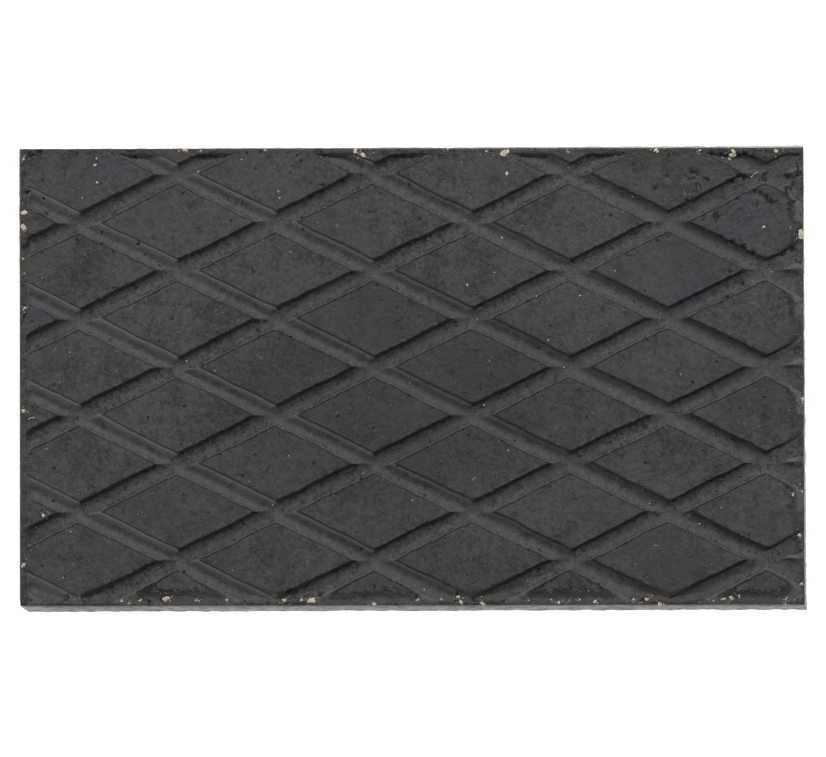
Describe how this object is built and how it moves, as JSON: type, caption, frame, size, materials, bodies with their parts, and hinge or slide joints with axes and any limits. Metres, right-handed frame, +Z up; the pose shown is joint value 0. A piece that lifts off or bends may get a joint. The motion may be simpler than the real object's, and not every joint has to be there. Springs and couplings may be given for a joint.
{
  "type": "snowboard stomp pad",
  "caption": "Flat rectangular rubber grip pad with a raised diamond tread, on double-coated foam tape with a split peel-off liner.",
  "frame": {"origin": "middle of the underside of the release liner, on the surface that the pad lies on", "axes": "+X along the pad's long side to the right, +Y across it to the back, +Z up out of the tread"},
  "size_m": [0.154, 0.0904, 0.0061],
  "materials": {
    "rubber": "matte moulded recycled rubber, charcoal, flecked with pale fibre crumbs",
    "adhesive": "clear to straw acrylic adhesive film",
    "foam": "white closed-cell foam",
    "liner": "plain ivory silicone-coated paper, unprinted"
  },
  "bodies": {
    "pad": {"tread": "rubber", "upper_adhesive": "adhesive", "foam_core": "foam", "lower_adhesive": "adhesive"},
    "liner_left": {"liner_left": "liner"},
    "liner_right": {"liner_right": "liner"}
  },
  "joints": [
    {"name": "liner_left_peel", "type": "hinge", "parent": "pad", "child": "liner_left", "pos_m": [-0.0765, 0, 0.00015], "axis": [0, 1, 0], "range_deg": [0, 180]},
    {"name": "liner_right_peel", "type": "hinge", "parent": "pad", "child": "liner_right", "pos_m": [0.0765, 0, 0.00015], "axis": [0, -1, 0], "range_deg": [0, 180]}
  ]
}
